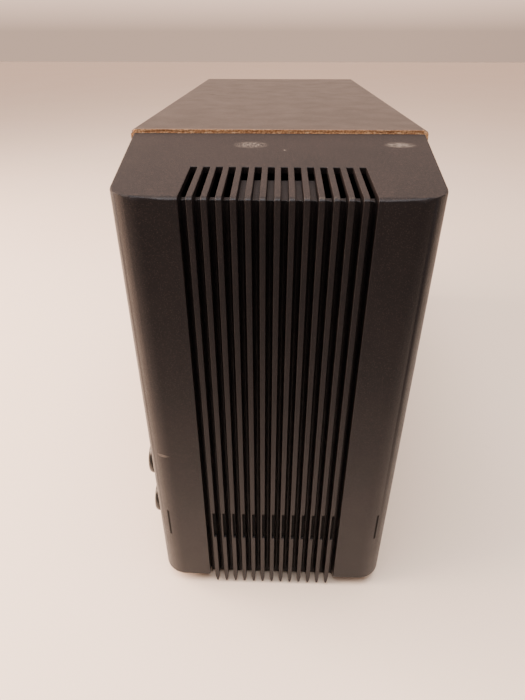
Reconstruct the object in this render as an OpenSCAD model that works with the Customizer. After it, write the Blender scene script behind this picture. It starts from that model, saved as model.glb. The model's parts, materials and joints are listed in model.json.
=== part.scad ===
// Table radio receiver: a wrapped sleeve closed at one end by a finned moulded cover.
// Millimetres. +Z is up, the controls face -X, the finned cover faces -Y.
// Origin: centre of the footprint, on the surface that the feet stand on.

/* [Cabinet] */
// Depth of the cabinet, from the control side to the rear side
cabinet_w = 150; // [146:1:156]
// Height of the cabinet, with its feet
cabinet_h = 244; // [240:1:250]
// Length of the wrapped sleeve
sleeve_l = 320; // [300:1:340]
// Thickness of the sleeve's board
board_t = 9; // [8:0.5:10]
// Height of the rubber feet
foot_h = 5; // [4:0.5:6]

/* [End cover] */
// Length of the end cover in front of the sleeve
cover_l = 88; // [86:1:92]
// Wall thickness of the end cover
cover_wall = 3; // [2.5:0.5:3.5]
// Step from the sleeve's skin down to the end cover
cover_reveal = 1.5; // [1:0.5:2]
// Width of the end cover at its near face
cover_near_w = 127.4; // [124:0.2:130]
// Fall of the cover's top towards the near face
cover_top_drop = 8; // [6:0.5:9]
// Rise of the cover's underside towards the near face
cover_bottom_rise = 1.5; // [1:0.5:2]
// Radius of the cover's upright corners
cover_corner_r = 13.5; // [12:0.5:15]

/* [Fins] */
// Number of fins on the near face
fin_count = 13; // [11:2:13]
// Distance from one fin to the next
fin_pitch = 5.45; // [5.3:0.05:5.6]
// Width of a groove at its mouth
groove_w = 3.05; // [2.8:0.05:3.2]
// Depth of a groove
groove_depth = 7.3; // [6:0.1:8]
// Length of the slots over the top
slot_l = 35; // [30:1:38]
// Depth of the fins below the cover's side panels
fin_drop = 6; // [5:0.5:6]

/* [Controls] */
// Diameter of a control knob
knob_d = 20.7; // [19:0.1:22]
// Height of the tuning knob above the ground
tuning_z = 64; // [62:1:66]
// Height of the volume knob above the ground
volume_z = 30; // [28:1:32]
// Distance of both knobs behind the near face
knob_back = 42; // [40:1:44]
// Diameter of the control shafts
shaft_d = 6; // [5.8:0.1:6.2]

/* [Loudspeaker] */
// Outer diameter of the loudspeaker's frame
speaker_d = 165; // [150:1:168]
// Length of the grille
grille_l = 260; // [240:1:262]
// Height of the grille
grille_h = 190; // [180:1:192]

/* [Sockets] */
// Bore diameter of the aerial and earth sockets
plug_bore_d = 4; // [3.9:0.1:4.1]
// Bore diameter of the earphone jack
jack_bore_d = 3.5; // [3.4:0.1:3.6]

/* [Hidden] */
$fn = 64;
fit_gap = 0.2;
over = 5;
run_gap = 0.05;

// Cabinet
total_l = sleeve_l + cover_l;
near_y = -total_l / 2;
far_y = total_l / 2;
seam_y = near_y + cover_l;
half_w = cabinet_w / 2;
in_w = half_w - board_t;
floor_z = foot_h + board_t;
roof_z = cabinet_h - board_t;
panel_t = 9;
panel_recess = 3;
panel_back_y = far_y - panel_recess;
panel_front_y = panel_back_y - panel_t;
batten_t = 12;
foot_r = 10;
foot_places = [for (x = [-55, 55], y = [seam_y + 26, far_y - 24]) [x, y, 0]];

// Screws: shank radius, head radius and head height
screw_r = 1.9;
head_r = 3.6;
head_h = 2.2;
head_sink = 1;
cover_screw_y = seam_y + 6;
cover_screw_x = [-40, 40];
cover_screw_z = [60, 190];
panel_screw_x = [-58, 58];
panel_screw_z = [30, 219];

// End cover
back_half_w = half_w - cover_reveal;
near_half_w = cover_near_w / 2;
side_tilt = atan((back_half_w - near_half_w) / cover_l);
cover_top_back = cabinet_h - cover_reveal;
cover_top_near = cover_top_back - cover_top_drop;
cover_bottom_back = foot_h + cover_reveal;
cover_bottom_near = cover_bottom_back + cover_bottom_rise;
top_slope = atan(cover_top_drop / cover_l);
edge_cut = 1.2;
spigot_l = 12;
fin_w = fin_pitch - groove_w;
fin_wall = 2.7;
fin_back_y = near_y + groove_depth + fin_wall;
fin_band_half = (fin_count + 1) / 2 * fin_pitch + 1;
shelf_half = 3 * fin_pitch + 0.6;
slot_depth = 3.6;
slot_w = groove_w - 0.1;
fin_rest_z = cover_bottom_near - fin_drop;
rebate_z = [42.7, 62.3];
rebate_depth = 1.6;
rebate_land = 1;
vent_pitch = 9;
vent_w = 3.2;
vent_y = [near_y + 22, near_y + 60];
boss_r = 15;
boss_t = 7;

// Controls, dial and drive
knob_y = near_y + knob_back;
knob_seat_x = -66.9;
knob_front_x = -half_w;
knob_r = knob_d / 2;
shaft_r = shaft_d / 2;
chassis_x = -42;
sheet_t = 1.5;
shelf_z = 18;
dial_y = near_y + 44;
dial_z = 150;
dial_w = 30;
dial_h = 116;
window_half = [13, 55];
needle_x = [6.2, 7];
lamp_at = [-5, 56];
lamp_r = 3;
rail_x = -56.6;
rail_y = -140;
rail_r = 1.5;
pointer_rest_z = 125;
drum_y = -112;
drum_z = 105;
drum_r = 24.8;
drum_x = -48.5;
cord_r = 0.4;
cord_run_r = 0.3;
cord_run_y = rail_y - 1.5;
pulley_r = 4;
pulley_top = [cord_run_y + pulley_r, 216];
pulley_low = [cord_run_y - pulley_r, 56];

// Chassis and the parts on it
chassis_y0 = near_y + 18;
chassis_back_y = -84;
shelf_back_y = -60;
chassis_top = 222;
sink_x0 = chassis_x + sheet_t;
sink_y = near_y + 52;
sink_z = [135, 215];
sink_fin_l = 34;
sink_fin_pitch = 8;
bush_r = 4.75;
pillar_r = 4;
pillar_x = [-20, 20];
board_x = 38;
laminate_t = 1.6;
core_z0 = shelf_z + sheet_t;
core_y = [-112, -84];
core_half = 28;
core_h = 56;
window_x = 14;
rod_end_y = [-100, 40];
aerial_x = 21;
aerial_z = 221;
aerial_r = 5;

// Tuning capacitor
plate_t = 1;
plate_pitch = 5;
stator_count = 6;
stator_x0 = -32;
rotor_r = 17;
stator_r = 21;
rotor_rest_turn = -54;

// Loudspeaker
speaker_y = 44;
speaker_z = 124.5;
baffle_t = 8;
baffle_x = -in_w;
flange_x = baffle_x + baffle_t;
flange_t = 2;
bolt_ring_r = 76;
baffle_half = 134;
cone_hole_r = 70;
basket_back_x = -22;
magnet_gap = [12.6, 14.8];
grille_x0 = -half_w + 0.4;
grille_x1 = -in_w - 0.6;
grille_rim = 8;
grille_gap = 0.3;
slat_w = 2.5;
slat_t = 4;
slat_pitch = 6.5;
slat_count = floor((grille_l - 2 * grille_rim) / slat_pitch);
grille_bar_z = 29;

// Connections
bay_y = -75;
bay_z = 92;
bay_l = 52;
bay_h = 132;
bay_x = in_w - 2;
function bay_place(y, z) = [bay_y + y, bay_z + z];
aerial_at = bay_place(12, 52);
earth_at = bay_place(-12, 52);
jack_at = bay_place(0, 24);
fuse_at = bay_place(0, -8);
inlet_at = bay_place(0, -44);
inlet_half = [13, 8];
inlet_wall = 2;
pin_r = 1.2;
pin_y = [-4.5, 4.5];
plate_half = 28.5;
plate_z = [bay_z - 70, inlet_at[1] + 14, bay_z + 70];
socket_l = 12;
socket_r = 5;
jack_r = 4;
fuse_r = 6;

// ---------- helpers ----------
module box(lo, hi) {
    translate(lo) cube(hi - lo);
}

module rod_x(r, x0, x1, y, z) {
    translate([x0, y, z]) rotate([0, 90, 0]) cylinder(r = r, h = x1 - x0);
}

module rod_y(r, y0, y1, x, z) {
    translate([x, y0, z]) rotate([-90, 0, 0]) cylinder(r = r, h = y1 - y0);
}

module rod_z(r, z0, z1, x, y) {
    translate([x, y, z0]) cylinder(r = r, h = z1 - z0);
}

// A solid of revolution about an axis along X through (y, z); the outline is [radius, x] pairs
module turned_x(y, z, outline) {
    translate([0, y, z]) rotate([0, 90, 0]) rotate_extrude() polygon(outline);
}

module at_each(places) {
    for (p = places) translate(p) children();
}

// Frame on the cover's slanted control side: x runs inwards, y along the wall, z up
module on_dial_wall() {
    translate([-cover_half_w(dial_y), dial_y, dial_z]) rotate([0, 0, side_tilt]) children();
}

function cover_half_w(y) = near_half_w + (y - near_y) * tan(side_tilt);
function cover_top(y) = cover_top_near + (y - near_y) * tan(top_slope);

// ---------- end cover ----------
// Plan of the cover, as the points of its rounded near corners and its open back
function corner_arc(side, inset) =
    let (steps = 10, cy = near_y + cover_corner_r,
        cx = cover_half_w(cy) - cover_corner_r / cos(side_tilt), r = cover_corner_r - inset)
    [for (i = [0:steps]) let (a = -90 + (90 - side_tilt) * i / steps)
        [side * (cx + r * cos(a)), cy + r * sin(a)]];

module cover_plan(inset, back_y) {
    back = cover_half_w(back_y) - inset / cos(side_tilt);
    right = corner_arc(1, inset);
    left = corner_arc(-1, inset);
    polygon(concat([[-back, back_y]], [for (i = [len(left) - 1:-1:0]) left[i]], right, [[back, back_y]]));
}

module cover_profile(inset, near_bottom, back_y) {
    rotate([90, 0, 90]) translate([0, 0, -half_w]) linear_extrude(cabinet_w) polygon([
        [near_y, near_bottom + inset],
        [near_y, cover_top_near - inset - edge_cut],
        [near_y + edge_cut, cover_top_near - inset],
        [back_y, cover_top(back_y) - inset],
        [back_y, cover_bottom_back + inset]]);
}

module cover_body(inset, back_y) {
    intersection() {
        linear_extrude(cabinet_h) cover_plan(inset, back_y);
        cover_profile(inset, cover_bottom_near, back_y);
    }
}

// Thick part of the near wall, into which the grooves are cut
module fin_band() {
    box([-fin_band_half, near_y, 0], [fin_band_half, fin_back_y, cabinet_h]);
}

// Middle of that wall, which hangs below the side panels
module fin_comb() {
    comb_half = fin_count / 2 * fin_pitch + groove_w / 2;
    box([-comb_half, near_y, fin_rest_z], [comb_half, fin_back_y, cover_bottom_near + cover_wall]);
}

function groove_arc(steps) = [for (i = [0:steps]) let (a = 180 * i / steps, rise = groove_w * 0.6)
    [groove_w / 2 * cos(a), groove_depth - rise + rise * sin(a)]];

module grooves() {
    for (i = [0:fin_count])
        translate([(i - fin_count / 2) * fin_pitch, near_y, 0]) linear_extrude(cabinet_h)
            polygon(concat([[-groove_w / 2, -1], [groove_w / 2, -1]], groove_arc(4)));
}

module top_slots() {
    translate([0, near_y, cover_top_near]) rotate([top_slope, 0, 0])
        for (i = [0:fin_count])
            translate([(i - fin_count / 2) * fin_pitch - slot_w / 2, groove_depth / 2, -slot_depth])
                cube([slot_w, slot_l - groove_depth / 2, slot_depth + over]);
}

module slot_shelf() {
    translate([0, near_y, cover_top_near]) rotate([top_slope, 0, 0])
        box([-shelf_half, groove_depth, -6], [shelf_half, slot_l - 6, -2]);
}

module fin_rebates() {
    for (i = [0:fin_count - 1]) {
        left = (i - (fin_count - 1) / 2) * fin_pitch - fin_w / 2;
        box([left + rebate_land, near_y - 1, rebate_z[0]],
            [left + fin_w + 0.5, near_y + rebate_depth, rebate_z[1]]);
    }
}

module spigot() {
    difference() {
        box([-in_w + fit_gap, seam_y - cover_wall, floor_z + fit_gap],
            [in_w - fit_gap, seam_y + spigot_l, roof_z - fit_gap]);
        spigot_opening();
    }
}

module spigot_opening() {
    box([-in_w + cover_wall, seam_y - cover_wall - 1, floor_z + cover_wall],
        [in_w - cover_wall, seam_y + spigot_l + 1, roof_z - cover_wall]);
}

module knob_boss(z) {
    rod_x(boss_r, knob_seat_x, knob_seat_x + boss_t, knob_y, z);
}

module knob_seat(z) {
    rod_x(knob_r + 1.4, knob_front_x - over, knob_seat_x, knob_y, z);
    rod_x(shaft_r + 1, knob_seat_x - 1, knob_seat_x + boss_t + 1, knob_y, z);
}

module bottom_vents() {
    for (i = [-4:4])
        box([i * vent_pitch - vent_w / 2, vent_y[0], 0], [i * vent_pitch + vent_w / 2, vent_y[1], floor_z]);
}

module end_cover() color([0.09, 0.085, 0.08]) {
    difference() {
        union() {
            cover_body(0, seam_y);
            fin_comb();
            spigot();
        }
        difference() {
            cover_body(cover_wall, seam_y - cover_wall);
            fin_band();
            slot_shelf();
            knob_boss(tuning_z);
            knob_boss(volume_z);
        }
        spigot_opening();
        grooves();
        top_slots();
        fin_rebates();
        bottom_vents();
        knob_seat(tuning_z);
        knob_seat(volume_z);
        on_dial_wall() box([-3, -dial_w / 2, -dial_h / 2], [cover_wall + 2, dial_w / 2, dial_h / 2]);
        cover_screw_shanks();
    }
}

// ---------- cabinet ----------
module cover_screw_shanks() {
    for (x = cover_screw_x) rod_z(screw_r, foot_h, floor_z + cover_wall + 0.8, x, cover_screw_y);
    for (z = cover_screw_z) rod_x(screw_r, in_w - cover_wall - 2, half_w, cover_screw_y, z);
}

module cover_screw_heads(proud = 0) {
    for (x = cover_screw_x)
        rod_z(head_r, foot_h + head_sink - proud, foot_h + head_sink + head_h, x, cover_screw_y);
    for (z = cover_screw_z)
        rod_x(head_r, half_w - head_sink - head_h, half_w - head_sink + proud, cover_screw_y, z);
}

module sleeve() color([0.16, 0.14, 0.13]) {
    difference() {
        box([-half_w, seam_y, foot_h], [half_w, far_y, cabinet_h]);
        box([-in_w, seam_y - 1, floor_z], [in_w, far_y + 1, roof_z]);
        box([-half_w - 1, speaker_y - grille_l / 2, speaker_z - grille_h / 2],
            [-in_w + 1, speaker_y + grille_l / 2, speaker_z + grille_h / 2]);
        box([in_w - 1, bay_y - bay_l / 2, bay_z - bay_h / 2],
            [half_w + 1, bay_y + bay_l / 2, bay_z + bay_h / 2]);
        cover_screw_shanks();
        cover_screw_heads(head_sink * 2);
    }
}

module cover_screws() color("silver") {
    intersection() {
        cover_screw_shanks();
        box([-half_w, near_y, foot_h + head_sink], [half_w - head_sink, far_y, cabinet_h]);
    }
    cover_screw_heads();
}

module panel_screw_shanks() {
    for (x = panel_screw_x, z = panel_screw_z) rod_y(screw_r - 0.1, panel_front_y - 10, panel_back_y, x, z);
}

module far_panel() color([0.12, 0.11, 0.1]) {
    difference() {
        box([-in_w + fit_gap, panel_front_y, floor_z + fit_gap],
            [in_w - fit_gap, panel_back_y, roof_z - fit_gap]);
        panel_screw_shanks();
    }
}

module corner_battens() color("burlywood") {
    difference() {
        for (x = [-in_w, in_w - batten_t])
            box([x, panel_front_y - batten_t, floor_z], [x + batten_t, panel_front_y, roof_z]);
        panel_screw_shanks();
    }
}

module panel_screws() color("silver") {
    panel_screw_shanks();
    for (x = panel_screw_x, z = panel_screw_z) rod_y(head_r, panel_back_y, far_y - 1, x, z);
}

module feet() color([0.05, 0.05, 0.05]) {
    at_each(foot_places) rotate_extrude() polygon([[0, 0.6], [foot_r / 2, 0.6], [foot_r / 2, 0],
        [foot_r - 1.2, 0], [foot_r, 1], [foot_r, foot_h], [0, foot_h]]);
}

// ---------- loudspeaker ----------
module bolt_holes(r, x0, x1) {
    for (a = [45:90:315])
        rod_x(r, x0, x1, speaker_y + bolt_ring_r * cos(a), speaker_z + bolt_ring_r * sin(a));
}

module baffle_board() color([0.1, 0.09, 0.08]) {
    difference() {
        box([baffle_x, speaker_y - baffle_half, floor_z + 6],
            [flange_x, speaker_y + baffle_half, roof_z - 6]);
        rod_x(cone_hole_r, baffle_x - 1, flange_x + 1, speaker_y, speaker_z);
        bolt_holes(screw_r, baffle_x - 1, flange_x + 1);
        bolt_holes(head_r, baffle_x - 1, baffle_x + 2.5);
    }
}

module speaker_grille() color([0.07, 0.07, 0.07]) {
    half_l = grille_l / 2 - grille_gap;
    half_h = grille_h / 2 - grille_gap;
    slat_l = half_l - grille_rim + 0.5;
    slat_h = half_h - grille_rim + 0.5;
    translate([0, speaker_y, speaker_z]) {
        difference() {
            box([grille_x0, -half_l, -half_h], [grille_x1, half_l, half_h]);
            box([grille_x0 - 1, -half_l + grille_rim, -half_h + grille_rim],
                [grille_x1 + 1, half_l - grille_rim, half_h - grille_rim]);
        }
        for (i = [0:slat_count - 1]) {
            y = (i - (slat_count - 1) / 2) * slat_pitch;
            box([grille_x0, y - slat_w / 2, -slat_h], [grille_x0 + slat_t, y + slat_w / 2, slat_h]);
        }
        for (z = [-grille_bar_z, grille_bar_z])
            box([grille_x0 + slat_t - 1, -slat_l, z - 1.5], [grille_x0 + slat_t + 2, slat_l, z + 1.5]);
    }
}

module grille_cloth() color([0.12, 0.1, 0.09]) {
    half_l = grille_l / 2 - 0.5;
    half_h = grille_h / 2 - 0.5;
    box([grille_x1, speaker_y - half_l, speaker_z - half_h],
        [-in_w, speaker_y + half_l, speaker_z + half_h]);
}

module speaker_basket() color([0.25, 0.26, 0.27]) {
    difference() {
        turned_x(speaker_y, speaker_z, [[67, flange_x], [speaker_d / 2, flange_x],
            [speaker_d / 2, flange_x + flange_t], [69, flange_x + flange_t], [44, basket_back_x + 2],
            [15.5, basket_back_x + 2],
            [15.5, basket_back_x], [42.6, basket_back_x]]);
        for (a = [0:60:300]) translate([0, speaker_y, speaker_z]) rotate([a, 0, 0])
            box([-50, -9, 30], [basket_back_x - 6, 9, 90]);
        bolt_holes(screw_r, flange_x - 1, flange_x + flange_t + 1);
    }
}

module speaker_magnet() color([0.2, 0.2, 0.21]) {
    front = basket_back_x + 2;
    turned_x(speaker_y, speaker_z, [[magnet_gap[1], front], [40, front], [40, front + 5], [45, front + 5],
        [45, front + 17], [40, front + 17], [40, front + 22], [0, front + 22], [0, front],
        [magnet_gap[0], front],
        [magnet_gap[0], front + 16], [magnet_gap[1], front + 16]]);
}

module speaker_bolts() color("silver") {
    bolt_holes(screw_r, baffle_x + 0.5, flange_x + flange_t + 5);
    bolt_holes(head_r - 0.1, baffle_x + 0.5, baffle_x + 2.5);
    bolt_holes(head_r, flange_x + flange_t, flange_x + flange_t + 3);
}

module speaker_surround() color([0.08, 0.08, 0.08]) {
    turned_x(speaker_y, speaker_z, [[58.4, -57.2], [60, -60], [63, -61.5], [66, -60], [67.5, -58.9],
        [69.5, -58.9],
        [69.5, -58.1], [67, -58.1], [65.4, -59.4], [63, -60.7], [60.6, -59.4], [59, -56.8]]);
}

module speaker_spider() color([0.6, 0.45, 0.2]) {
    turned_x(speaker_y, speaker_z, [[14.6, -28.4], [45.5, -28.4], [45.5, -27.6], [14.6, -27.6]]);
}

module speaker_cone() color([0.13, 0.12, 0.11]) {
    turned_x(speaker_y, speaker_z, [[14.3, -30], [58.2, -56], [58.2, -54.8], [15, -29], [14.3, -29]]);
    turned_x(speaker_y, speaker_z, [[0, -38], [8, -37], [14, -34.6], [18.5, -32.2], [18.5, -31.8],
        [17.5, -31.6], [13.5, -33.7], [8, -36], [0, -37]]);
}

module voice_coil() color([0.7, 0.4, 0.2]) {
    turned_x(speaker_y, speaker_z, [[13.2, -31.5], [14.2, -31.5], [14.2, -10], [13.2, -10]]);
}

// ---------- chassis and electronics ----------
module chassis() color([0.72, 0.72, 0.68]) {
    difference() {
        union() {
            box([chassis_x, chassis_y0, shelf_z], [sink_x0, chassis_back_y, chassis_top]);
            box([chassis_x, chassis_y0, shelf_z], [50, shelf_back_y, core_z0]);
        }
        rod_x(bush_r, chassis_x - 1, sink_x0 + 1, knob_y, tuning_z);
        rod_x(shaft_r + 1, chassis_x - 1, sink_x0 + 1, knob_y, volume_z);
        rod_x(shaft_r + 2, chassis_x - 1, sink_x0 + 1, drum_y, drum_z);
    }
    for (y = [near_y + 40, -90])
        box([board_x + laminate_t, y, shelf_z + 0.5], [board_x + laminate_t + sheet_t, y + 10, 50]);
}

module chassis_pillars() color("silver") {
    for (x = pillar_x) {
        rod_z(pillar_r, cover_bottom_back + cover_wall + 0.5, shelf_z, x, near_y + 70);
        rod_z(pillar_r, floor_z, shelf_z, x, shelf_back_y - 6);
    }
}

module circuit_board() color([0.55, 0.4, 0.2]) {
    box([board_x, near_y + 28, 24], [board_x + laminate_t, -72, 190]);
}

// The small parts stand on the board's -X side
module if_transformers() color("silver") {
    for (z = [150, 128, 106]) translate([board_x - 16, -92, z - 5]) cube([16, 10, 10]);
}

module crystal_diode() color([0.75, 0.75, 0.7, 0.6]) {
    y = -104;
    z = 160;
    lead_r = 0.4;
    rod_z(1.4, z - 4, z + 4, board_x - 3, y);
    rod_z(lead_r, z - 10, z + 10, board_x - 3, y);
    for (end = [-9.8, 9.8]) rod_x(lead_r, board_x - 3, board_x, y, z + end);
}

module signal_transistors() color([0.15, 0.15, 0.16]) {
    for (y = [-116, -130, -144], z = [165, 140]) rod_x(2.6, board_x - 6, board_x, y, z);
}

module resistors() color([0.75, 0.6, 0.42]) {
    for (y = [-150:8:-110], z = [128:24:176]) rod_z(1.2, z - 3.5, z + 3.5, board_x - 1.2, y);
}

module small_capacitors() color([0.2, 0.3, 0.5]) {
    for (y = [-112, -128, -146], z = [112, 92]) rod_x(4, board_x - 12, board_x, y, z);
}

module heat_sink() color([0.5, 0.5, 0.52]) {
    box([sink_x0, sink_y, sink_z[0]], [24, sink_y + 4, sink_z[1]]);
    for (i = [0:7]) translate([sink_x0 + 2.5 + i * sink_fin_pitch, sink_y - sink_fin_l, sink_z[0]])
        cube([1.6, sink_fin_l + 0.5, sink_z[1] - sink_z[0]]);
}

module output_transistors() color([0.6, 0.6, 0.6]) {
    face_y = sink_y + 4;
    for (z = [155, 193]) {
        rod_y(10, face_y, face_y + 7, -8, z);
        translate([-21, face_y, z - 7]) cube([26, 1.5, 14]);
    }
}

module bridge_rectifier() color([0.08, 0.08, 0.08]) {
    translate([board_x - 7, -160, 60]) cube([7, 18, 18]);
}

module smoothing_capacitors() color([0.15, 0.25, 0.45]) {
    for (x = [-8, 20]) rod_z(12.5, core_z0, 70, x, near_y + 36);
}

module transformer_core() color([0.3, 0.28, 0.27]) {
    difference() {
        box([-core_half, core_y[0], core_z0], [core_half, core_y[1], core_z0 + core_h]);
        for (x = [-window_x, window_x])
            box([x - 6, core_y[0] - 1, core_z0 + 9], [x + 6, core_y[1] + 1, core_z0 + 47]);
    }
}

module transformer_winding() color([0.6, 0.35, 0.15]) {
    difference() {
        box([-window_x - 5.6, core_y[0] - 10, core_z0 + 9.4],
            [window_x + 5.6, core_y[1] + 10, core_z0 + 46.6]);
        box([-8.2, core_y[0] - fit_gap, core_z0 + 5], [8.2, core_y[1] + fit_gap, core_z0 + 50]);
    }
}

module rod_clips() color([0.9, 0.88, 0.8]) {
    for (y = [rod_end_y[0] + 4, rod_end_y[1] - 14]) difference() {
        box([aerial_x - 7, y, aerial_z - 7], [aerial_x + 7, y + 6, roof_z]);
        rod_y(aerial_r, y - 1, y + 7, aerial_x, aerial_z);
    }
}

module ferrite_rod() color([0.2, 0.19, 0.19]) {
    rod_y(aerial_r, rod_end_y[0], rod_end_y[1], aerial_x, aerial_z);
}

module aerial_coil() color([0.7, 0.4, 0.2]) {
    difference() {
        rod_y(aerial_r + 1.5, -82, -42, aerial_x, aerial_z);
        rod_y(aerial_r, -83, -41, aerial_x, aerial_z);
    }
}

// ---------- connection bay ----------
module connection_panel() color([0.1, 0.1, 0.1]) {
    difference() {
        box([bay_x, bay_y - plate_half, plate_z[1]], [in_w, bay_y + plate_half, plate_z[2]]);
        for (p = [aerial_at, earth_at]) rod_x(socket_r, bay_x - 1, in_w + 1, p[0], p[1]);
        rod_x(jack_r, bay_x - 1, in_w + 1, jack_at[0], jack_at[1]);
        rod_x(fuse_r, bay_x - 1, in_w + 1, fuse_at[0], fuse_at[1]);
    }
}

module plug_socket(at, body_r, rim_r, rim_t, bore_d) {
    difference() {
        union() {
            rod_x(rim_r, in_w, in_w + rim_t, at[0], at[1]);
            rod_x(body_r, bay_x - socket_l, in_w, at[0], at[1]);
        }
        rod_x(bore_d / 2, bay_x - socket_l + 1, in_w + rim_t + 1, at[0], at[1]);
    }
}

module aerial_socket() color([0.7, 0.1, 0.08])
    plug_socket(aerial_at, socket_r, socket_r + 2, 3, plug_bore_d);

module earth_socket() color([0.05, 0.05, 0.05])
    plug_socket(earth_at, socket_r, socket_r + 2, 3, plug_bore_d);

module earphone_jack() color([0.75, 0.75, 0.75])
    plug_socket(jack_at, jack_r, jack_r + 1.5, 2, jack_bore_d);

module fuse_holder() color([0.06, 0.06, 0.06]) {
    rod_x(fuse_r + 1.5, in_w, in_w + 6, fuse_at[0], fuse_at[1]);
    rod_x(fuse_r, bay_x - 20, in_w, fuse_at[0], fuse_at[1]);
}

module mains_inlet() color([0.06, 0.06, 0.06]) {
    translate([0, inlet_at[0], 0]) difference() {
        union() {
            box([bay_x, -plate_half, plate_z[0]], [in_w, plate_half, plate_z[1] - 0.4]);
            inlet_block(in_w, in_w + 2, 3);
            inlet_block(bay_x - 16, in_w, 0);
        }
        inlet_block(bay_x - socket_l, in_w + 3, -inlet_wall);
        for (y = pin_y) rod_x(pin_r, bay_x - 17, in_w, y, inlet_at[1]);
    }
}

module inlet_block(x0, x1, grow) {
    box([x0, -inlet_half[0] - grow, inlet_at[1] - inlet_half[1] - grow],
        [x1, inlet_half[0] + grow, inlet_at[1] + inlet_half[1] + grow]);
}

module inlet_pins() color("silver") {
    for (y = pin_y) rod_x(pin_r, bay_x - 20, bay_x - 3, inlet_at[0] + y, inlet_at[1]);
}

// ---------- dial ----------
module dial_bezel() color([0.6, 0.58, 0.5]) {
    half = [dial_w / 2 - 0.1, dial_h / 2 - 0.1];
    on_dial_wall() difference() {
        box([0.3, -half[0], -half[1]], [5.2, half[0], half[1]]);
        box([-1, -window_half[0] + 2, -window_half[1] + 2], [6, window_half[0] - 2, window_half[1] - 2]);
        box([2, -window_half[0], -window_half[1]], [6, window_half[0], window_half[1]]);
    }
}

module dial_window() color([0.85, 0.9, 0.92, 0.3]) {
    half = window_half - [0.1, 0.1];
    on_dial_wall() box([2, -half[0], -half[1]], [3.5, half[0], half[1]]);
}

module dial_scale() color([0.85, 0.82, 0.7]) {
    half = window_half + [0.5, 2];
    on_dial_wall() box([8, -half[0], -half[1]], [9.5, half[0], half[1]]);
}

module pointer_rail() color("silver") {
    rod_z(rail_r, 84, 206, rail_x, rail_y);
    for (z = [82, 204]) difference() {
        union() {
            box([rail_x - 3, rail_y - 3, z], [rail_x + 3, rail_y + 5, z + 4]);
            box([rail_x - 3, rail_y + 0.1, z], [chassis_x, rail_y + 5, z + 4]);
        }
        rod_z(rail_r, z + 1.9, z + 5, rail_x, rail_y);
        rod_z(rail_r, z - 1, z + 2.1, rail_x, rail_y);
    }
}

module dial_pointer() color([0.85, 0.2, 0.1]) {
    difference() {
        union() {
            on_dial_wall() translate([0, 0, pointer_rest_z - dial_z]) {
                box([needle_x[0], -10, -0.6], [needle_x[1], 20.5, 0.6]);
                box([needle_x[0], 16.5, -0.6], [13, 20.5, 0.6]);
            }
            box([rail_x - 3, rail_y - 3, pointer_rest_z - 5], [rail_x + 3, rail_y + 3, pointer_rest_z + 5]);
            box([rail_x, rail_y - 3, pointer_rest_z - 1.5],
                [drum_x + 2, rail_y + 0.5, pointer_rest_z + 1.5]);
        }
        rod_z(rail_r + run_gap, pointer_rest_z - 6, pointer_rest_z + 6, rail_x, rail_y);
        rod_z(cord_r + 0.4, pointer_rest_z - 6, pointer_rest_z + 6, drum_x, cord_run_y);
    }
}

module lamp_holder() color([0.7, 0.7, 0.65]) {
    difference() {
        on_dial_wall() difference() {
            box([12, lamp_at[0] - lamp_r, lamp_at[1] - 6], [28, lamp_at[0] + lamp_r, lamp_at[1] + 6]);
            rod_x(lamp_r, 11, 20, lamp_at[0], lamp_at[1]);
        }
        box([chassis_x, near_y, floor_z], [0, seam_y, roof_z]);
    }
}

module dial_lamp() color([0.95, 0.9, 0.7, 0.5]) {
    on_dial_wall() {
        rod_x(lamp_r, 11.5, 20, lamp_at[0], lamp_at[1]);
        translate([11.5, lamp_at[0], lamp_at[1]]) sphere(r = lamp_r / 2);
    }
}

// ---------- tuning drive ----------
module cord_run(from, to) {
    length = norm(to - from);
    translate([drum_x, from[0], from[1]]) rotate([-atan2(to[0] - from[0], to[1] - from[1]), 0, 0])
        cylinder(r = cord_run_r, h = length, $fn = 12);
}

module cord_ring(r, y, z) {
    translate([drum_x, y, z]) rotate([0, 90, 0]) rotate_extrude($fn = 32) translate([r, 0])
        circle(r = cord_r, $fn = 12);
}

// Point where a line from p touches a circle, turning to its left (side 1) or its right (side -1)
function touch_point(p, centre, r, side) =
    let (d = centre - p, a = atan2(d[1], d[0]) + side * asin(r / norm(d)), reach = sqrt(d * d - r * r))
    p + reach * [cos(a), sin(a)];

module dial_cord() color([0.9, 0.9, 0.85]) {
    ring_r = drum_r - 0.6;
    wrap_r = shaft_r + 2 * cord_r;
    drum_c = [drum_y, drum_z];
    top_right = pulley_top + [pulley_r, 0];
    spindle_top = [knob_y, tuning_z + wrap_r];
    spindle_low = [knob_y, tuning_z - wrap_r];
    cord_ring(ring_r, drum_y, drum_z);
    cord_ring(wrap_r, knob_y, tuning_z);
    cord_ring(pulley_r, pulley_top[0], pulley_top[1]);
    cord_ring(pulley_r, pulley_low[0], pulley_low[1]);
    cord_run(pulley_low + [pulley_r, 0], pulley_top - [pulley_r, 0]);
    cord_run(top_right, touch_point(top_right, drum_c, ring_r, 1));
    cord_run(spindle_top, touch_point(spindle_top, drum_c, ring_r, -1));
    cord_run(spindle_low, pulley_low - [0, pulley_r]);
}

module cord_pulleys() color([0.85, 0.85, 0.8]) {
    for (p = [pulley_top, pulley_low]) {
        rod_x(pulley_r - 0.6, drum_x - 1.5, drum_x + 1.5, p[0], p[1]);
        for (x = [drum_x - 2.2, drum_x + 0.7]) rod_x(pulley_r + 1, x, x + 1.5, p[0], p[1]);
        rod_x(1.2, drum_x - 3, chassis_x, p[0], p[1]);
    }
}

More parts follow.
